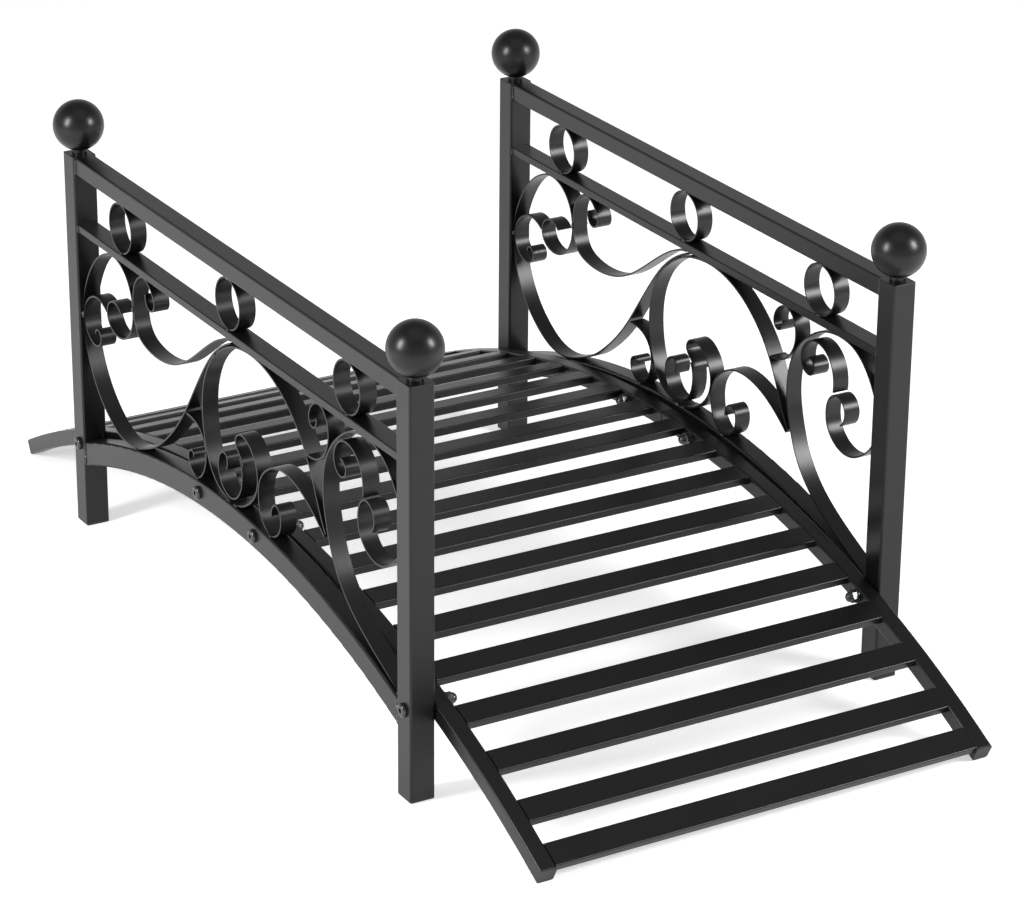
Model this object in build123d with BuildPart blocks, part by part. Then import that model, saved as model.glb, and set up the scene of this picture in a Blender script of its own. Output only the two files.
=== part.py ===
from build123d import *
import math
import os

# A small arched garden bridge in black powder-coated steel. Two welded railings, each with scrollwork, are
# bolted to a walking deck that is made in two halves. Millimetres, +Z up, +X along the way over the bridge.

# Posts and ball finials
post_spacing_x = 831
post_spacing_y = 603
post_side = 30
post_height = 480
tube_wall = 1.5
tube_corner = 2.5
ball_radius = 30.7
neck_radius = 9
neck_height = 5.5
stud_radius = 4
stud_length = 18
foot_flange = 3
foot_plug_depth = 16

# Rails of a railing
rail_width = 25
top_rail_height = 22
mid_rail_height = 10
mid_rail_top = 396
light_wall = 1.2
light_corner = 1.5
arch_rail_height = 30
arch_rail_inset = 1
arch_crown = 185
arch_rail_end_top = 113

# Scrollwork and rings, all bent from one flat strip
strip_width = 20
strip_thickness = 2
weld_gap = 0.3
ring_spacing = 283

# Walking deck
deck_radius = 1389
deck_crown = 180.5
deck_tube = 20
half_gap = 1.5
end_flange = 2.5
end_plug_depth = 14
slat_width = 30
slat_pitch = 70.8
slat_height = 10
slats_per_half = 10
last_slat_inset = 0.5

# M8 fasteners
bolt_radius = 4
hole_clearance = 0.25
thread_clearance = 0.1
bolt_head_radius = 8
bolt_head_height = 4.5
socket_across_flats = 5
socket_depth = 2.5
thread_past_nut_seat = 11
nut_flange_radius = 8.5
nut_flange_height = 1.6
nut_across_flats = 13
nut_hex_height = 6.5
nut_dome_radius = 6.3
mid_bolt_places = (-80, 62)

sides = {"left": -1, "right": 1}
ends = {"front": 1, "rear": -1}
post_x = post_spacing_x / 2
post_y = post_spacing_y / 2
post_face_x = post_x - post_side / 2
post_inner_y = post_y - post_side / 2
post_outer_y = post_y + post_side / 2
arch_rail_y = post_outer_y - arch_rail_inset - rail_width / 2
mid_rail_under = mid_rail_top - mid_rail_height
top_rail_under = post_height - top_rail_height
hole_radius = bolt_radius + hole_clearance

arch_rise = arch_crown - arch_rail_end_top
arch_radius = (post_face_x**2 + arch_rise**2) / (2 * arch_rise)
arch_centre_z = arch_crown - arch_radius
deck_centre_z = deck_crown - deck_radius
deck_rail_y = post_inner_y - deck_tube / 2
deck_inner_y = post_inner_y - deck_tube
deck_centre_radius = deck_radius - deck_tube / 2
bolt_places = (-post_x, *mid_bolt_places, post_x)

# The deck's lowest corner is the outer lower corner of each end flange, and it stands on the ground.
tip_radius = math.hypot(deck_radius - deck_tube, end_flange)
tip_lean = math.atan2(end_flange, deck_radius - deck_tube)
deck_end_angle = math.acos(-deck_centre_z / tip_radius) - tip_lean
deck_start_angle = half_gap / 2 / deck_radius

os.makedirs("parts", exist_ok=True)


def save(built, name):
    built.part.label = name
    export_step(built.part, f"parts/{name}.step")


def arc_plane(radius, centre_z, angle, y):
    """Plane across an arch at an angle from its crown: local x across the bridge, local y outward."""
    outward = Vector(math.sin(angle), 0, math.cos(angle))
    along = Vector(math.cos(angle), 0, -math.sin(angle))
    origin = Vector(0, y, centre_z) + outward * radius
    return Plane(origin=origin, x_dir=along.cross(outward) * -1, z_dir=along)


def tube_section(width, height, corner, wall):
    """Rounded rectangular tube section, centred on the sketch."""
    RectangleRounded(width, height, corner)
    RectangleRounded(width - 2 * wall, height - 2 * wall, corner - wall / 2, mode=Mode.SUBTRACT)


def arch_top(x):
    return arch_centre_z + math.sqrt(arch_radius**2 - x**2)


def bolt_height(x):
    """Bolts go through the middle line of the deck's side tubes."""
    return deck_centre_z + math.sqrt(deck_centre_radius**2 - x**2)


# Posts: square tube with a closed top that the finial's stud screws into.
with BuildPart() as post_blank:
    with BuildSketch(Plane.XY.offset(foot_flange)):
        tube_section(post_side, post_side, tube_corner, tube_wall)
    extrude(amount=post_height - foot_flange)
    with BuildSketch(Plane.XY.offset(post_height - 2 * tube_wall)):
        RectangleRounded(post_side - tube_wall, post_side - tube_wall, tube_corner - tube_wall / 2)
    extrude(amount=2 * tube_wall)
    fillet(post_blank.faces().sort_by(Axis.Z)[-1].outer_wire().edges(), tube_wall / 2)
    with Locations((0, 0, post_height)):
        Hole(stud_radius + hole_clearance, depth=3 * tube_wall)


# Foot plugs: plastic inserts with a flange that the post stands on.
with BuildPart() as foot_plug_blank:
    with BuildSketch():
        RectangleRounded(post_side, post_side, tube_corner)
    extrude(amount=foot_flange)
    fillet(foot_plug_blank.faces().sort_by(Axis.Z)[0].edges(), foot_flange / 2)
    plug_side = post_side - 2 * tube_wall - 2 * hole_clearance
    with BuildSketch(Plane.XY.offset(foot_flange)):
        RectangleRounded(plug_side, plug_side, tube_corner / 2)
        Rectangle(plug_side - 4 * tube_wall, plug_side - 4 * tube_wall, mode=Mode.SUBTRACT)
    extrude(amount=foot_plug_depth)

# Ball finials: a ball on a short neck, with a stud that goes down through the post's top.
ball_centre_z = post_height + neck_height + math.sqrt(ball_radius**2 - neck_radius**2)
with BuildPart() as finial_blank:
    with BuildSketch(Plane.XZ):
        with BuildLine():
            Polyline(
                (0, post_height - stud_length),
                (stud_radius, post_height - stud_length),
                (stud_radius, post_height),
                (neck_radius, post_height),
                (neck_radius, post_height + neck_height),
            )
            ThreePointArc(
                (neck_radius, post_height + neck_height),
                (ball_radius, ball_centre_z),
                (0, ball_centre_z + ball_radius),
            )
            Line((0, ball_centre_z + ball_radius), (0, post_height - stud_length))
        make_face()
    revolve(axis=Axis.Z)

for end_name, end in ends.items():
    for side_name, side in sides.items():
        corner = f"{end_name}_{side_name}"
        corner_place = Location((end * post_x, side * post_y, 0))
        with BuildPart() as post:
            add(post_blank.part.moved(corner_place))
            with Locations(Plane.XZ * Location((end * post_x, bolt_height(post_x), -side * post_y))):
                Hole(hole_radius, depth=post_side)
        save(post, f"post_{corner}")
        with BuildPart() as foot_plug:
            add(foot_plug_blank.part.moved(corner_place))
        save(foot_plug, f"foot_plug_{corner}")
        with BuildPart() as finial:
            add(finial_blank.part.moved(corner_place))
        save(finial, f"ball_finial_{corner}")

# Straight rails between the posts, and the curved rail that closes the railing below.
arch_end_angle = math.asin(post_face_x / (arch_radius - arch_rail_height)) + math.radians(1)
arch_axis = Axis((0, 0, arch_centre_z), (0, 1, 0))
for side_name, side in sides.items():
    with BuildPart() as top_rail:
        with BuildSketch(Plane.YZ.offset(-post_face_x)):
            with Locations((side * post_y, post_height - top_rail_height / 2)):
                tube_section(rail_width, top_rail_height, tube_corner, tube_wall)
        extrude(amount=2 * post_face_x)
    save(top_rail, f"top_rail_{side_name}")

    with BuildPart() as mid_rail:
        with BuildSketch(Plane.YZ.offset(-post_face_x)):
            with Locations((side * post_y, mid_rail_top - mid_rail_height / 2)):
                tube_section(rail_width, mid_rail_height, light_corner, light_wall)
        extrude(amount=2 * post_face_x)
    save(mid_rail, f"mid_rail_{side_name}")

    with BuildPart() as arch_rail:
        start = arc_plane(arch_radius - arch_rail_height / 2, arch_centre_z, -arch_end_angle, side * arch_rail_y)
        with BuildSketch(start):
            tube_section(rail_width, arch_rail_height, tube_corner, tube_wall)
        revolve(axis=arch_axis, revolution_arc=2 * math.degrees(arch_end_angle))
        split(bisect_by=Plane.YZ.offset(post_face_x), keep=Keep.BOTTOM)
        split(bisect_by=Plane.YZ.offset(-post_face_x), keep=Keep.TOP)
        for place in mid_bolt_places:
            with Locations(Plane.XZ * Location((place, bolt_height(place), -side * arch_rail_y))):
                Hole(hole_radius, depth=rail_width)
    save(arch_rail, f"arch_rail_{side_name}")

# Scrollwork. The pattern is drawn for a panel with the proportions below, between the post faces and
# between the arch rail and the mid rail, and it is stretched to the real panel, so that a strip that
# touches a post or a rail in the drawing touches it on the bridge.
drawn_half_length = 399.5
drawn_crown = 186
drawn_end = 114
drawn_top = 385
drawn_rise = drawn_crown - drawn_end
drawn_radius = (drawn_half_length**2 + drawn_rise**2) / (2 * drawn_rise)


def drawn_floor(x):
    """Height of a strip's middle line where it lies on the arch rail in the drawing."""
    return drawn_crown - drawn_radius + math.sqrt(drawn_radius**2 - x**2)


def on_panel(x, z):
    """A point of the drawing, carried to the real panel."""
    inset = strip_thickness / 2 + weld_gap
    real_x = x * (post_face_x - inset) / drawn_half_length
    floor = arch_top(real_x) + inset
    ceiling = mid_rail_under - inset
    share = (z - drawn_floor(x)) / (drawn_top - drawn_floor(x))
    return (real_x, floor + share * (ceiling - floor))


def on_rail(x):
    return (x, drawn_floor(x))


scrolls = {
    # From a curl at the rear, over the top, down along the rear post and up again to the middle
    "long_s": [
        (-290, 318), (-301, 325), (-315, 325), (-326, 317), (-329, 305), (-321, 292), (-303, 285.5),
        (-283, 288), (-266, 300), (-257, 317), (-255.5, 336), (-262, 358), (-280, 377), (-306, drawn_top),
        (-336, 378), (-365, 357), (-386, 328), (-397, 302), (-drawn_half_length, 279), (-396, 250), (-384, 220),
        (-363, 192), (-335, 170), (-308, 157.5), (-282, 153.8), on_rail(-258), (-235, 164.5), (-206, 177),
        (-176, 197), (-147, 222.5), (-119, 254), (-94, 288), (-69, 321.5), (-43, 350.5), (-19, 369), (5, 381.5),
    ],
    # Small curl inside it, beside the rear post
    "post_curl": [
        (-365, 267), (-362, 273), (-354, 272), (-350, 263), (-357, 254), (-370, 251.5), (-384, 257),
        (-394, 268), (-397, 282), (-391, 298), (-377, 310), (-360, 315.5), (-344, 313.5), (-331.5, 307),
    ],
    # Wave from a curl under the mid rail to the middle of the panel
    "wave": [
        (-219, 366), (-218, 357), (-211, 350), (-202, 350), (-196, 357), (-198, 368), (-208, 379),
        (-224, drawn_top), (-240, 378), (-251, 362), (-253.5, 343), (-251, 323), (-242, 308), (-222, 299),
        (-196, 296), (-166, 298.5), (-136, 307), (-106, 322.5), (-76, 343), (-50, 361), (-24, 376),
        (6, drawn_top),
    ],
    # Big arch right of the middle
    "middle_arch": [
        on_rail(-4), (-24, 189.5), (-42, 198.5), (-55, 213), (-64.5, 232), (-70, 254), (-71.5, 278),
        (-68.5, 301), (-60, 323), (-45.5, 344), (-27, 360), (-9, 371), (9, 378.5), (29, 383),
        (51, drawn_top), (80, 382.8), (110, 374.5), (137, 361), (161, 343), (182, 320.5), (199, 294),
        (213, 266), (231, 236),
    ],
    # Branch from the long strip down to the arch rail
    "rear_branch": [
        (-115.5, 253.5), (-98, 253), (-81, 247), (-69.5, 235.5), (-65, 220), (-69, 202), (-79, 188),
        on_rail(-92), (-104, 187), (-111.5, 198), (-109.5, 208.5), (-102.5, 211.5), (-98, 205),
    ],
    # Two curls that make an S on the arch rail
    "low_curl": [
        (-12, 222), (-9.5, 231), (-13, 239), (-21, 240), (-29.5, 233), (-33, 219), (-28.5, 204),
        (-17, 193.5), (-1, 190), (14, 196.5), (24, 209), (28, 225), (27, 238), (22.5, 248),
    ],
    "high_curl": [
        (30, 241), (25, 250.5), (17, 257), (12.5, 265), (16, 273), (27, 278), (41, 276), (54, 267.5),
        (63.5, 254), (67, 238), (63, 221), (52, 206.5), (37, 195.5), (22, 188.5), on_rail(7),
    ],
    # Small S under the mid rail
    "rail_curl": [
        (212, 366), (211.5, 358), (205, 352.5), (197.5, 355), (195, 364.5), (200, 375.5), (211, 383.5),
        (223, 384), (234, 376), (239.5, 362), (238.5, 346), (231.5, 332), (220, 321.5), (206, 316),
        (191, 315),
    ],
    # Front arch with a long tail that lies down on the arch rail
    "front_arch": [
        on_rail(398), (364, 130), (325, 148.5), (290, 169), (264, 191.5), (246, 217), (234.5, 245),
        (227.5, 273), (227, 300), (233, 324), (246, 346), (265, 364), (287, 377.5), (310, 384),
        (332, drawn_top), (354, 380.3), (374, 367.5), (388.5, 351), (drawn_half_length, 332),
    ],
    # Curl inside the front arch
    "inner_curl": [
        (267, 339), (275, 337), (279.5, 329.5), (275, 321), (265.5, 319), (256, 325), (252.5, 337),
        (257, 350.5), (269, 360.5), (285, 363), (300, 358), (311.5, 347), (317.5, 332), (318, 314),
    ],
    # Hook on the front post
    "post_hook": [
        (334, 279), (341, 287), (342, 299), (335, 309), (323, 312), (311.5, 304.5), (306, 289),
        (309, 271), (321, 256.5), (340, 248.5), (361, 250), (380, 260), (391.5, 270), (drawn_half_length, 282),
    ],
    # Branch of the big arch down to the arch rail
    "front_branch": [
        (100, 207), (102, 217), (110, 223.5), (119, 220), (123, 208), (119, 194.5), (109.5, 185.5),
        on_rail(97), (84.5, 186.5), (74, 198), (69, 214), (70, 233), (78, 248), (92, 260), (109, 268.5),
        (128, 272), (148, 271), (169, 266), (190, 257), (210, 245), (227.5, 232),
    ],
}

for scroll_name, drawing in scrolls.items():
    for side_name, side in sides.items():
        with BuildPart() as scroll:
            with BuildSketch(Plane.XZ.offset(-side * post_y)):
                with BuildLine() as middle_line:
                    Spline(*[on_panel(x, z) for x, z in drawing])
                trace(middle_line.line, line_width=strip_thickness)
            extrude(amount=strip_width / 2, both=True)
        save(scroll, f"scroll_{scroll_name}_{side_name}")

# Rings between the mid rail and the top rail
ring_radius = (top_rail_under - mid_rail_top) / 2
ring_z = mid_rail_top + ring_radius
ring_places = {"rear": -ring_spacing, "middle": 0, "front": ring_spacing}
for place_name, place in ring_places.items():
    for side_name, side in sides.items():
        with BuildPart() as ring:
            with BuildSketch(Plane.XZ.offset(-side * post_y)):
                with Locations((place, ring_z)):
                    Circle(ring_radius)
                    Circle(ring_radius - strip_thickness, mode=Mode.SUBTRACT)
            extrude(amount=strip_width / 2, both=True)
        save(ring, f"ring_{place_name}_{side_name}")

# Deck halves: two curved side tubes with slats welded between them, their tops level.
deck_axis = Axis((0, 0, deck_centre_z), (0, 1, 0))
last_slat_angle = deck_end_angle - (last_slat_inset + slat_width / 2) / deck_radius
slat_angles = [(number + 0.5) * slat_pitch / deck_radius for number in range(slats_per_half - 1)]
slat_angles.append(last_slat_angle)
for end_name, end in ends.items():
    for side_name, side in sides.items():
        with BuildPart() as deck_rail:
            start = arc_plane(deck_centre_radius, deck_centre_z, end * deck_start_angle, side * deck_rail_y)
            with BuildSketch(start):
                tube_section(deck_tube, deck_tube, tube_corner, tube_wall)
            turn = math.degrees(deck_end_angle - deck_start_angle)
            revolve(axis=deck_axis, revolution_arc=end * turn)
            for place in (place for place in bolt_places if place * end > 0):
                with Locations(Plane.XZ * Location((place, bolt_height(place), -side * deck_rail_y))):
                    Hole(hole_radius, depth=deck_tube)
        save(deck_rail, f"deck_rail_{end_name}_{side_name}")

        tip = arc_plane(deck_centre_radius, deck_centre_z, end * deck_end_angle, side * deck_rail_y)
        with BuildPart() as end_plug:
            with BuildSketch(tip):
                RectangleRounded(deck_tube, deck_tube, tube_corner)
            extrude(amount=end * end_flange)
            with BuildSketch(tip):
                plug_side = deck_tube - 2 * tube_wall - 2 * hole_clearance
                RectangleRounded(plug_side, plug_side, tube_corner / 2)
                Rectangle(plug_side - 3 * tube_wall, plug_side - 3 * tube_wall, mode=Mode.SUBTRACT)
            extrude(amount=-end * end_plug_depth)
        save(end_plug, f"end_plug_{end_name}_{side_name}")

    with BuildPart() as slats:
        for slat_angle in slat_angles:
            level = arc_plane(deck_radius - slat_height / 2, deck_centre_z, end * slat_angle, 0)
            section = Plane(origin=level.origin - Vector(0, deck_inner_y, 0), x_dir=level.z_dir, z_dir=(0, 1, 0))
            with BuildSketch(section):
                tube_section(slat_width, slat_height, light_corner, light_wall)
            extrude(amount=2 * deck_inner_y)
    save(slats, f"deck_slats_{end_name}")

# Fasteners: button-head bolts from outside, cap nuts on the inner face of the deck tubes.
with BuildPart() as bolt_blank:
    with BuildSketch():
        Circle(bolt_head_radius)
    extrude(amount=bolt_head_height)
    fillet(bolt_blank.edges().sort_by(Axis.Z)[-1], bolt_head_height * 0.6)
    with BuildSketch(Plane.XY.offset(bolt_head_height)):
        RegularPolygon(socket_across_flats / 2, 6, major_radius=False)
    extrude(amount=-socket_depth, mode=Mode.SUBTRACT)
    with BuildSketch():
        Circle(bolt_radius)
    extrude(amount=-(post_outer_y - deck_inner_y + thread_past_nut_seat))

with BuildPart() as nut_blank:
    with BuildSketch():
        Circle(nut_flange_radius)
    extrude(amount=nut_flange_height)
    with BuildSketch(Plane.XY.offset(nut_flange_height)):
        RegularPolygon(nut_across_flats / 2, 6, major_radius=False)
    extrude(amount=nut_hex_height)
    with Locations((0, 0, nut_flange_height + nut_hex_height)):
        Sphere(nut_dome_radius)
    with BuildSketch():
        Circle(bolt_radius + thread_clearance)
    extrude(amount=thread_past_nut_seat + arch_rail_inset, mode=Mode.SUBTRACT)

with BuildPart() as bolts:
    for side in sides.values():
        for place in bolt_places:
            seat = post_outer_y - arch_rail_inset if place in mid_bolt_places else post_outer_y
            seat_point = (place, side * seat, bolt_height(place))
            seat_plane = Plane(origin=seat_point, x_dir=(1, 0, 0), z_dir=(0, side, 0))
            add(bolt_blank.part.moved(seat_plane.location))
save(bolts, "bolts_m8")

with BuildPart() as cap_nuts:
    for side in sides.values():
        for place in bolt_places:
            nut_point = (place, side * deck_inner_y, bolt_height(place))
            nut_plane = Plane(origin=nut_point, x_dir=(1, 0, 0), z_dir=(0, -side, 0))
            add(nut_blank.part.moved(nut_plane.location))
save(cap_nuts, "cap_nuts_m8")
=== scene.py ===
# %% [markdown]
# # A small garden footbridge in black powder-coated steel
# The bridge is two welded railings bolted to a slatted walking deck. Its steel was drawn to size in
# a CAD program, so the shapes arrive finished. What is left for Blender is what a drawing doesn't
# say: the grain and sheen of the coat, the softened edges that catch the light, the welds, and the
# light itself.

# %% Load the steelwork
import math
import random

import bmesh
import bpy
import numpy as np
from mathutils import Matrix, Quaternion, Vector
from mathutils.bvhtree import BVHTree


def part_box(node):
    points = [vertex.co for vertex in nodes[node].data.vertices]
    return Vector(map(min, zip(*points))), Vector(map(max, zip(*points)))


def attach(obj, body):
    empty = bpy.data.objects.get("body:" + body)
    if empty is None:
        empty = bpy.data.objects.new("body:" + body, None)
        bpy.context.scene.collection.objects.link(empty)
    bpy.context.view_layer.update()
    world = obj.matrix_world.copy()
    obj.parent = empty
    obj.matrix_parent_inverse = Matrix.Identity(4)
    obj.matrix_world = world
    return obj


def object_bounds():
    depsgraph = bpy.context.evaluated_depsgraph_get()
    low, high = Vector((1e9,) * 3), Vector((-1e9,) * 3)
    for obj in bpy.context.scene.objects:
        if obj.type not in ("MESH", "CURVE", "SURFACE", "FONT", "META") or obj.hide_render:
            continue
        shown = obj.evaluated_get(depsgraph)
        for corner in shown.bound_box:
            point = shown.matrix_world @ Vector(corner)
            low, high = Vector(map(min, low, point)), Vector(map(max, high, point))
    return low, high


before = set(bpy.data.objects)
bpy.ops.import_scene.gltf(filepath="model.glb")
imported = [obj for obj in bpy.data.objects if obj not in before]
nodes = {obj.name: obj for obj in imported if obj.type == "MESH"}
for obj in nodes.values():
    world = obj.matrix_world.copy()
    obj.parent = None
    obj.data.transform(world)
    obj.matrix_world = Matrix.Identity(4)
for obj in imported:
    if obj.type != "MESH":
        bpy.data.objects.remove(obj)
drawn_low, drawn_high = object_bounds()
scene = bpy.context.scene
print("pieces of steelwork:", len(nodes))
print("size in metres:", [round(value, 3) for value in drawn_high - drawn_low])

# %% [markdown]
# ## The camera
# A garden bridge is long and low, so it is looked at from a corner and a little above, and from far
# enough away that its posts stay nearly parallel. A long lens does that. The camera is placed by
# two angles and a distance from the point that it looks at, which are easier to reason about than
# three coordinates.

# %% Place the camera
aim = Vector((0.1334, -0.0207, 0.2328))
camera_azimuth = math.radians(59.611)
camera_elevation = math.radians(23.094)
camera_roll = math.radians(0.491)
camera_distance = 4.35

back = Vector((
    math.sin(camera_azimuth) * math.cos(camera_elevation),
    -math.cos(camera_azimuth) * math.cos(camera_elevation),
    math.sin(camera_elevation),
))
camera_data = bpy.data.cameras.new("camera")
camera_data.lens = 134.1
camera_data.sensor_width = 36
camera = bpy.data.objects.new("camera", camera_data)
scene.collection.objects.link(camera)
camera.location = aim + back * camera_distance
camera.rotation_mode = "QUATERNION"
camera.rotation_quaternion = (-back).to_track_quat("-Z", "Y") @ Quaternion((0, 0, 1), camera_roll)
scene.camera = camera
print("camera at", [round(value, 3) for value in camera.location])

# %% [markdown]
# ## The light
# Black paint shows almost nothing of its own colour. What the eye reads on it is the reflection of
# the room, so the light is built as a room: a pale floor that fills the undersides, and two tall
# softboxes, one beside the left railing and one ahead on the right. Each puts one soft patch on a
# ball and shades one side of a post. A wide, weak one above lifts what faces up.

# %% Softboxes
def softbox(name, direction, distance, width, height, power):
    """A rectangular light that faces the bridge from a direction."""
    lamp = bpy.data.lights.new(name, "AREA")
    lamp.shape = "RECTANGLE"
    lamp.size = width
    lamp.size_y = height
    lamp.energy = power
    holder = bpy.data.objects.new(name, lamp)
    scene.collection.objects.link(holder)
    direction = Vector(direction).normalized()
    holder.location = aim + direction * distance
    holder.rotation_euler = (-direction).to_track_quat("-Z", "Y").to_euler()
    print(name, "at", [round(value, 2) for value in holder.location], "with", power, "watts")


softbox("softbox_left", (0.0, -0.90, 0.43), distance=3.4, width=0.65, height=1.4, power=92)
softbox("softbox_front", (0.67, 0.55, 0.47), distance=3.6, width=0.75, height=1.2, power=92)
softbox("softbox_above", (0.25, -0.1, 1.0), distance=3.6, width=3.0, height=3.0, power=12)
scene.view_settings.view_transform = "Standard"

# %% [markdown]
# ## Finishes as arithmetic
# A finish is a recipe: a base colour, a little unevenness, a roughness that wanders. In Blender
# each step of the recipe is a node, and wiring nodes by hand hides the recipe. A small class that
# wraps one socket lets the recipe be written as sums and products instead, and every sum adds its
# own Math node.

# %% One socket that can do sums
class Shade:
    """One output of a material's node tree. Arithmetic on it adds Math nodes to the tree."""

    def __init__(self, tree, socket=None):
        self.tree = tree
        self.socket = socket

    def node(self, kind, settings=(), inputs=(), output=0):
        """Adds a node, fills its sockets with values or links, and returns one output."""
        made = self.tree.nodes.new(kind)
        for name, value in dict(settings).items():
            if name == "stops":
                ramp = made.color_ramp.elements
                while len(ramp) < len(value):
                    ramp.new(1)
                for stop, (place, level) in zip(ramp, value):
                    stop.position = place
                    stop.color = (level, level, level, 1)
            else:
                setattr(made, name, value)
        for key, value in dict(inputs).items():
            if isinstance(value, Shade):
                self.tree.links.new(value.socket, made.inputs[key])
            else:
                made.inputs[key].default_value = value
        return Shade(self.tree, made.outputs[output]) if len(made.outputs) else None

    def math(self, operation, first, second=0.0):
        return self.node("ShaderNodeMath", {"operation": operation}, {0: first, 1: second})

    def __add__(self, other):
        return self.math("ADD", self, other)

    def __radd__(self, other):
        return self.math("ADD", other, self)

    def __sub__(self, other):
        return self.math("SUBTRACT", self, other)

    def __rsub__(self, other):
        return self.math("SUBTRACT", other, self)

    def __mul__(self, other):
        return self.math("MULTIPLY", self, other)

    def __truediv__(self, other):
        return self.math("DIVIDE", self, other)

    def __abs__(self):
        return self.math("ABSOLUTE", self)

    def clamped(self):
        return self.node("ShaderNodeClamp", (), {0: self})


def grey(level, warmth=0.0):
    """A dark neutral colour, a touch bluer for negative warmth."""
    return (level * (1 + warmth), level, level * (1 - warmth), 1)


print("a socket can now be added to and multiplied")

# %% [markdown]
# ## The room
# Flat steel acts as a dim mirror. A level rail seen from the front and above mirrors the far wall,
# and a slat that slopes towards the eye mirrors the ceiling. So the walls are bright and the
# ceiling is dimmer, and every slope of the arch gets a grey of its own. The room is a gradient by
# how far up one looks: sine of the angle.

# %% Bright walls, dimmer ceiling
room = bpy.data.worlds.new("room")
room.use_nodes = True
sky = Shade(room.node_tree)
direction = sky.node("ShaderNodeTexCoord", output="Generated")
looking_up = sky.node("ShaderNodeSeparateXYZ", (), {0: direction}, output="Z")
walls = sky.node("ShaderNodeValToRGB", {"stops": [(0.26, 0.66), (0.66, 0.27)]}, {0: looking_up})
sky.tree.links.new(walls.socket, room.node_tree.nodes["Background"].inputs["Color"])
scene.world = room
print("room with", len(room.node_tree.nodes), "nodes")

# %% [markdown]
# ## Helpers for a finish
# Three ingredients come back in every finish of this bridge: a noise with a size given in
# millimetres, a mix of two colours, and the last step that hands everything to the surface shader.

# %% Noise, mix and surface
def noise(base, millimetres, detail=2.0, stretch=(1, 1, 1)):
    """Cloudy values from 0 to 1 whose clouds are about this wide on the real object."""
    place = base.node("ShaderNodeTexCoord", output="Object")
    place = base.node("ShaderNodeVectorMath", {"operation": "MULTIPLY"}, {0: place, 1: stretch})
    sizes = {"Vector": place, "Scale": 1000 / millimetres, "Detail": detail}
    return base.node("ShaderNodeTexNoise", (), sizes)


def mixed(base, share, first, second):
    """A colour between two colours."""
    sides = {0: share, 6: first, 7: second}
    return base.node("ShaderNodeMix", {"data_type": "RGBA"}, sides, output=2)


def facing_up(base):
    """1 where a surface looks at the sky, 0 where it is upright or looks down."""
    normal = base.node("ShaderNodeNewGeometry", output="Normal")
    return base.node("ShaderNodeSeparateXYZ", (), {0: normal}, output="Z").clamped()


def bumped(base, height, millimetres, strength=1.0):
    """A surface normal tilted by a height from 0 to 1, which stands for this many millimetres."""
    sizes = {"Height": height, "Distance": millimetres / 1000, "Strength": strength}
    return base.node("ShaderNodeBump", (), sizes)


def finish(name, recipe):
    """Makes a material from a recipe that returns the inputs of its surface shader."""
    material = bpy.data.materials.new(name)
    material.use_nodes = True
    material.node_tree.nodes.clear()
    base = Shade(material.node_tree)
    surface = base.node("ShaderNodeBsdfPrincipled", (), recipe(base))
    base.node("ShaderNodeOutputMaterial", (), {"Surface": surface})
    print("finish", name, "with", len(material.node_tree.nodes), "nodes")
    return material


# %% [markdown]
# ## Powder coat
# Powder is sprayed dry and melts into a skin about a tenth of a millimetre thick. The skin is never
# quite flat: it has a fine pebble, called orange peel, and a slower waviness that makes the sheen
# of long flat tubes wander. Handling leaves faint dull smears, and a little pale dust settles on
# what faces up. The pebble goes into the bump, and the smears and the dust into roughness and
# colour. The base colour is set darker than a real black powder's, so that the bright room mirrored
# in the coat doesn't lift it to grey.

# %% Powder coat recipe
def powder_coat_recipe(base):
    pebble = noise(base, 0.9, 1.0)
    wave = noise(base, 14, 2.0)
    smear = noise(base, 120, 4.0, (0.35, 1, 1))
    dust = facing_up(base) * noise(base, 45, 5.0)
    dulled = (smear * 0.7 + dust * 0.5).clamped()
    colour = mixed(base, dulled, grey(0.002, -0.03), grey(0.005, -0.04))
    roughness = 0.25 + smear * 0.09 + dust * 0.05 + pebble * 0.03
    relief = pebble * 0.35 + wave * 0.65
    return {
        "Base Color": colour,
        "Roughness": roughness,
        "Normal": bumped(base, relief, 0.06, 0.45),
        "IOR": 1.41,
    }


powder_coat = finish("powder_coat", powder_coat_recipe)

# %% [markdown]
# ## The coat on the balls
# The balls are taken to be pressed from two half shells, with the line where the shells meet lying
# level round the middle. It is a very shallow groove under the coat. The groove is worked out from
# the height above the ground: it is deepest at the ball's middle height and gone six tenths of a
# millimetre away.

# %% Ball coat recipe
ball_low, ball_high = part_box("ball_finial_front_left")
ball_radius = (ball_high.x - ball_low.x) / 2
seam_height = ball_high.z - ball_radius
seam_half_width = 0.0006


def ball_coat_recipe(base):
    place = base.node("ShaderNodeTexCoord", output="Object")
    height = base.node("ShaderNodeSeparateXYZ", (), {0: place}, output="Z")
    away = abs(height - seam_height) / seam_half_width
    seam = (1 - away).clamped()
    pebble = noise(base, 1.3, 1.0)
    smear = noise(base, 26, 4.0)
    colour = mixed(base, (smear * 0.8).clamped(), grey(0.002, -0.03), grey(0.005, -0.03))
    return {
        "Base Color": colour,
        "Roughness": 0.27 + smear * 0.08 + seam * 0.1,
        "Normal": bumped(base, pebble * 0.1 - seam, 0.12, 0.5),
        "IOR": 1.41,
    }


ball_coat = finish("ball_coat", ball_coat_recipe)
print("seam at height", round(seam_height, 4))
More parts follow.
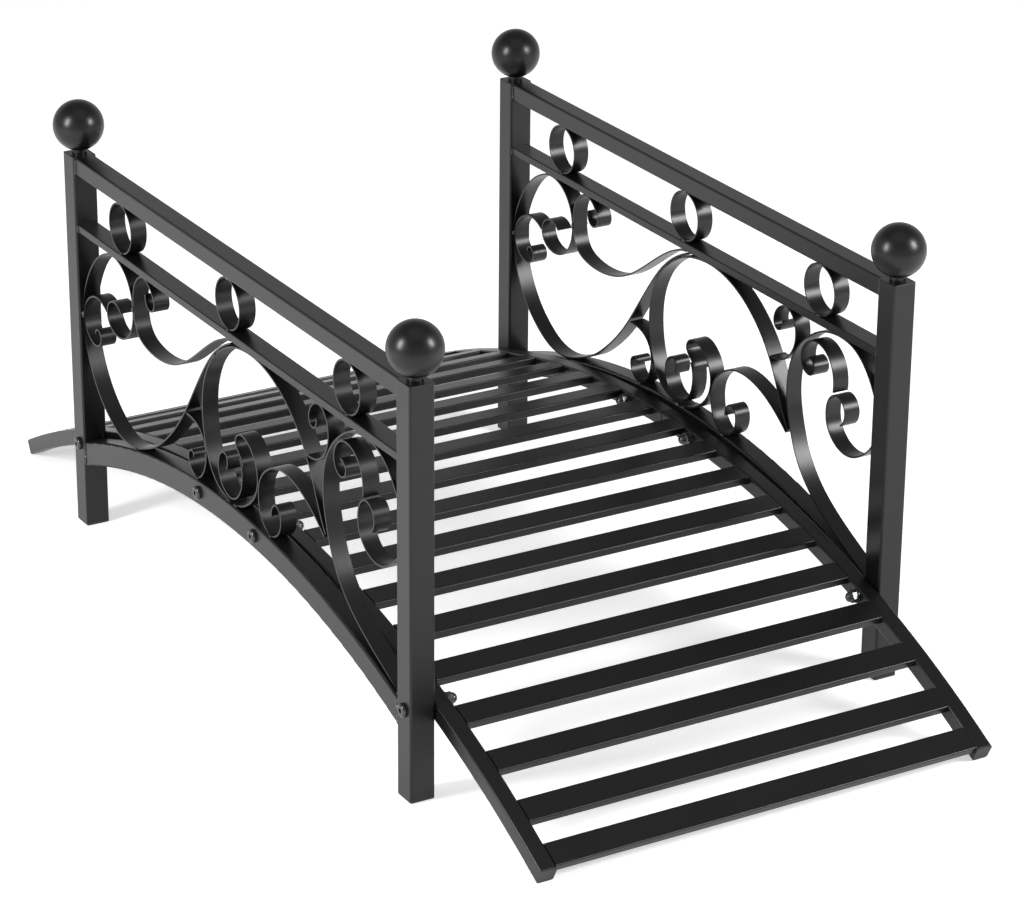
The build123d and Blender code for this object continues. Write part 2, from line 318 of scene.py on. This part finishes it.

# %% [markdown]
# ## Black plastic
# The feet and the ends of the deck tubes are closed by moulded plugs. Moulded plastic copies the
# spark-eroded steel of its mould, which is a fine dull grain, so it stays matt beside the coated
# steel. Feet that have stood on the ground are scuffed: the plastic is paler in scattered patches.

# %% Plastic recipe
def plastic_recipe(base):
    grain = noise(base, 0.5, 3.0)
    scuff = noise(base, 9, 5.0, (1, 1, 2.5))
    scuffed = base.node("ShaderNodeValToRGB", {"stops": [(0.52, 0.0), (0.7, 1.0)]}, {0: scuff})
    colour = mixed(base, (scuffed * 0.45).clamped(), grey(0.016), grey(0.05, 0.02))
    return {
        "Base Color": colour,
        "Roughness": 0.55 + grain * 0.1 + scuffed * 0.1,
        "Normal": bumped(base, grain, 0.05, 0.5),
        "IOR": 1.46,
    }


black_plastic = finish("black_plastic", plastic_recipe)

# %% [markdown]
# ## Black zinc
# The bolts and cap nuts are not painted but plated, with zinc blackened in a bath. Plating is thin
# and follows the turned metal below, so it is much glossier than the coat, with a smoky unevenness
# and fine turning marks.

# %% Black zinc recipe
def black_zinc_recipe(base):
    smoke = noise(base, 5, 3.0)
    turning = noise(base, 0.35, 1.0, (0.3, 1, 1))
    colour = mixed(base, smoke, grey(0.035, -0.05), grey(0.09, -0.03))
    return {
        "Base Color": colour,
        "Roughness": 0.13 + smoke * 0.12,
        "Metallic": 0.55 + smoke * 0.4,
        "Normal": bumped(base, turning, 0.02, 0.4),
    }


black_zinc = finish("black_zinc", black_zinc_recipe)

# %% [markdown]
# ## Coated welds
# The welds are coated together with the steel, but powder runs thin over their ripples, and here
# and there a crest shows a glint of bare metal. The finish is the powder coat again with glossier
# patches that turn to metal.

# %% Weld recipe
def weld_recipe(base):
    patch = noise(base, 3.0, 3.0)
    bare = base.node("ShaderNodeValToRGB", {"stops": [(0.60, 0.0), (0.68, 1.0)]}, {0: patch})
    colour = mixed(base, bare, grey(0.02, -0.02), grey(0.30, 0.01))
    return {
        "Base Color": colour,
        "Roughness": 0.36 - bare * 0.1,
        "Metallic": bare * 0.8,
        "Normal": bumped(base, noise(base, 0.8, 2.0), 0.1, 0.6),
        "IOR": 1.52,
    }


coated_weld = finish("coated_weld", weld_recipe)

# %% [markdown]
# ## Dress the steelwork
# Which finish a piece has follows from what it is, and its name says what it is. The shapes from
# the drawing stay untouched, and only their material is exchanged.

# %% Give each piece its finish
finishes = {
    "ball_finial": ball_coat,
    "foot_plug": black_plastic,
    "end_plug": black_plastic,
    "bolts": black_zinc,
    "cap_nuts": black_zinc,
}
for name, piece in nodes.items():
    chosen = next((coat for start, coat in finishes.items() if name.startswith(start)), powder_coat)
    piece.data.materials.clear()
    piece.data.materials.append(chosen)
print("dressed", len(nodes), "pieces")

# %% [markdown]
# ## Welds as beads
# A weld is a row of small frozen puddles, each overlapping the last, which swells at the start and
# thins at the end. It is made by walking along a line and placing rings of points round it whose
# radius rises and falls once for each puddle. Rings joined to their neighbours give one closed
# skin, without any ready-made solid.

# %% Bead maker
ring_points = 10
puddle = 0.0016
steps_per_puddle = 4
ripple_depth = 0.16
ripple_scatter = 0.05
thinnest_end = 0.06
taper_radii = 1.5


def add_bead(skin, line, radius, chance):
    """Adds one bead along a line of points to a bmesh, with ripples as wide as a puddle."""
    steps = []
    for first, second in zip(line, line[1:]):
        parts = max(2, round((second - first).length / (puddle / steps_per_puddle)))
        steps += [first.lerp(second, part / parts) for part in range(parts)]
    steps.append(line[-1])
    rings = []
    walked = 0.0
    length = sum((second - first).length for first, second in zip(steps, steps[1:]))
    for number, point in enumerate(steps):
        before = steps[number - 1] if number else point
        after = steps[number + 1] if number + 1 < len(steps) else point
        along = (after - before).normalized()
        side = along.orthogonal().normalized()
        other = along.cross(side)
        scatter = chance.uniform(-ripple_scatter, ripple_scatter)
        ripple = 1 + ripple_depth * (1 - 2 * (walked / puddle % 1.0)) + scatter
        share = min(walked, length - walked) / (taper_radii * radius)
        taper = math.sqrt(max(thinnest_end, min(1.0, share)))
        size = radius * ripple * taper
        turns = [2 * math.pi * place / ring_points for place in range(ring_points)]
        spokes = [side * math.cos(turn) + other * math.sin(turn) for turn in turns]
        rings.append([skin.verts.new(point + spoke * size) for spoke in spokes])
        walked += (steps[number + 1] - point).length if number + 1 < len(steps) else 0
    for ring, following in zip(rings, rings[1:]):
        for place in range(ring_points):
            beside = (place + 1) % ring_points
            skin.faces.new((ring[place], ring[beside], following[beside], following[place]))
    skin.faces.new(reversed(rings[0]))
    skin.faces.new(rings[-1])


def make_piece(name, skin, material):
    """Turns a bmesh into a smooth piece that rides on the bridge."""
    bmesh.ops.recalc_face_normals(skin, faces=skin.faces)
    shape = bpy.data.meshes.new(name)
    skin.to_mesh(shape)
    skin.free()
    shape.materials.append(material)
    for polygon in shape.polygons:
        polygon.use_smooth = True
    piece = bpy.data.objects.new(name, shape)
    scene.collection.objects.link(piece)
    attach(piece, "root")
    print(name, "with", len(shape.vertices), "points")


# %% [markdown]
# ## Where the scrolls are tacked
# A welder tacks a scroll wherever it touches something: the next scroll, a rail, or a post. So the
# places needn't be listed. They can be found, by walking along the edge of each strip and asking
# how far the nearest other piece is. Where it is closer than a little under half a strip's
# thickness, there is a contact, and neighbouring contact points belong to the same tack.

# %% Find the contacts
reach = 0.0009
apart = 0.012
sample_step = 0.0012
same_plane = 1e-5


def points_of(name):
    piece = nodes[name]
    return np.array([vertex.co for vertex in piece.data.vertices], float)


def edge_samples(name, level):
    """Points along a strip's edge that lie in the plane y = level."""
    piece = nodes[name]
    samples = []
    for edge in piece.data.edges:
        first, second = (piece.data.vertices[index].co for index in edge.vertices)
        if abs(first.y - level) < same_plane and abs(second.y - level) < same_plane:
            parts = max(1, round((second - first).length / sample_step))
            samples += [first.lerp(second, part / parts) for part in range(parts + 1)]
    return samples


def tree_of(name):
    mesh = nodes[name].data
    corners = [vertex.co for vertex in mesh.vertices]
    faces = [tuple(polygon.vertices) for polygon in mesh.polygons]
    return BVHTree.FromPolygons(corners, faces)


def contacts(strip, neighbour_tree, level):
    """Places where a strip's edge meets a neighbour: each one's middle and the joint's direction."""
    near = []
    for point in edge_samples(strip, level):
        found, normal, _, distance = neighbour_tree.find_nearest(point, reach)
        if found is not None:
            near.append(((point + found) / 2, normal))
    groups = []
    for point, normal in sorted(near, key=lambda pair: (pair[0].x, pair[0].z)):
        home = None
        for group in groups:
            if any((point - other).length < apart for other, _ in group):
                home = group
                break
        if home is None:
            groups.append([(point, normal)])
        else:
            home.append((point, normal))
    joints = []
    for group in groups:
        centre = sum((point for point, _ in group), Vector()) / len(group)
        upright = sum((normal for _, normal in group), Vector())
        along = Vector((upright.z, 0, -upright.x))
        if along.length > 1e-3:
            joints.append((centre, along.normalized()))
    return joints


# %% Tack the scrolls and rings
tack_radius = 0.0013
tack_half_length = 0.0035
tack_proud = 0.0004
chance = random.Random(8)
for side in ("left", "right"):
    rails = [f"arch_rail_{side}", f"mid_rail_{side}", f"top_rail_{side}"]
    posts = [f"post_front_{side}", f"post_rear_{side}"]
    on_this_side = (name for name in nodes if name.endswith(side))
    strips = sorted(name for name in on_this_side if name.startswith(("scroll", "ring")))
    trees = {name: tree_of(name) for name in strips + rails + posts}
    skin = bmesh.new()
    count = 0
    for number, strip in enumerate(strips):
        low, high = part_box(strip)
        for neighbour in strips[number + 1:] + rails + posts:
            other_low, other_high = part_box(neighbour)
            left_out = [low[axis] - reach > other_high[axis] for axis in (0, 2)]
            right_out = [high[axis] + reach < other_low[axis] for axis in (0, 2)]
            if any(left_out + right_out):
                continue
            for level in (low.y, high.y):
                outward = tack_proud if level == high.y else -tack_proud
                for centre, along in contacts(strip, trees[neighbour], level):
                    seat = Vector((centre.x, level + outward, centre.z))
                    half = along * tack_half_length * chance.uniform(0.8, 1.2)
                    add_bead(skin, [seat - half, seat + half], tack_radius, chance)
                    count += 1
    make_piece(f"scroll_tacks_{side}", skin, coated_weld)
    print(side, "tacks:", count)

# %% [markdown]
# ## Fillet welds at the rail ends
# The rails butt against the posts and are welded round three sides: the top is ground flush, so
# that nothing scratches a hand. The bead runs in the corner between the rail's end and the post, so
# its line is the rail's outline, drawn at the post's face.

# %% Weld the rails to the posts
end_bead_radius = 0.0014
end_slice = 0.0002
bead_inset = 0.0003
corner_share = 0.12


def rail_end_line(name, end):
    """The outline of a rail's end below its top, from one side round the bottom to the other."""
    places = points_of(name)
    x = places[:, 0].max() if end > 0 else places[:, 0].min()
    at_end = places[abs(places[:, 0] - x) < end_slice]
    low, high = at_end.min(0), at_end.max(0)
    x -= end * bead_inset
    drop = (high[2] - low[2]) * corner_share
    return [
        Vector((x, low[1], high[2] - drop)), Vector((x, low[1], low[2] + drop)),
        Vector((x, low[1] + drop, low[2])), Vector((x, high[1] - drop, low[2])),
        Vector((x, high[1], low[2] + drop)), Vector((x, high[1], high[2] - drop)),
    ]


for side in ("left", "right"):
    skin = bmesh.new()
    for rail in ("arch_rail", "mid_rail", "top_rail"):
        for end in (1, -1):
            add_bead(skin, rail_end_line(f"{rail}_{side}", end), end_bead_radius, chance)
    make_piece(f"rail_end_welds_{side}", skin, coated_weld)

# %% [markdown]
# ## Slat welds
# Each slat is let in between the deck's side tubes, its top level with theirs, and is tacked to
# them with dots of weld. A slat's points lie along its two long sides, so cutting the cloud of
# points wherever x jumps gives each long side as a group of its own, two for each slat. The points
# of a group spread most up and down, which gives the side's lean. At both ends of a side one dot
# sits at its upper and one at its lower corner. The upper dots stand a little above the slat.

# %% Weld the slats to the side tubes
between_sides = 0.015
slat_bead_radius = 0.0013
share_over_the_side = 0.55

for end in ("front", "rear"):
    places = points_of(f"deck_slats_{end}")
    places = places[np.argsort(places[:, 0])]
    cuts = np.where(np.diff(places[:, 0]) > between_sides)[0] + 1
    skin = bmesh.new()
    long_sides = np.split(places, cuts)
    for long_side in long_sides:
        centre = (long_side.max(0) + long_side.min(0)) / 2
        spread = long_side[:, [0, 2]] - centre[[0, 2]]
        lean = np.linalg.eigh(spread.T @ spread)[1][:, -1]
        along_lean = Vector((lean[0], 0, lean[1])) * math.copysign(1, lean[0])
        over = Vector((-along_lean.z, 0, along_lean.x))
        half_height = np.abs(spread @ lean).max()
        half_depth = np.abs(spread @ np.array([-lean[1], lean[0]])).max()
        for y, inward in ((long_side[:, 1].min(), 1), (long_side[:, 1].max(), -1)):
            corner = Vector((centre[0], y + inward * bead_inset, centre[2]))
            for edge in (-1, 1):
                foot = corner + along_lean * half_height * edge
                head = foot + over * half_depth * share_over_the_side
                add_bead(skin, [foot - over * half_depth, head], slat_bead_radius, chance)
    print(end, "long sides of slats:", len(long_sides))
    make_piece(f"slat_welds_{end}", skin, coated_weld)

# %% [markdown]
# ## The floor
# A studio floor is one pale sheet, so large that its edge stays out of this camera's view. Under
# the bridge it is what most of the black undersides reflect. It has a faint unevenness so that the
# shadows on it look laid on paper.

# %% Lay the floor
def floor_recipe(base):
    cloud = noise(base, 900, 3.0)
    return {
        "Base Color": mixed(base, cloud, (0.86, 0.86, 0.865, 1), (0.9, 0.9, 0.9, 1)),
        "Roughness": 0.75 + cloud * 0.1,
        "Emission Color": (1, 1, 1, 1),
        "Emission Strength": 0.50,
    }


floor_paper = finish("floor_paper", floor_recipe)
floor_half = 14.0
floor_gap = 0.0002
floor_height = drawn_low.z - floor_gap
sheet = bmesh.new()
corners = [(-1, -1), (1, -1), (1, 1), (-1, 1)]
points = [(x * floor_half, y * floor_half, floor_height) for x, y in corners]
sheet.faces.new([sheet.verts.new(point) for point in points])
floor_shape = bpy.data.meshes.new("floor")
sheet.to_mesh(floor_shape)
sheet.free()
floor_shape.materials.append(floor_paper)
floor = bpy.data.objects.new("floor", floor_shape)
scene.collection.objects.link(floor)
print("floor at", round(floor_height, 4))
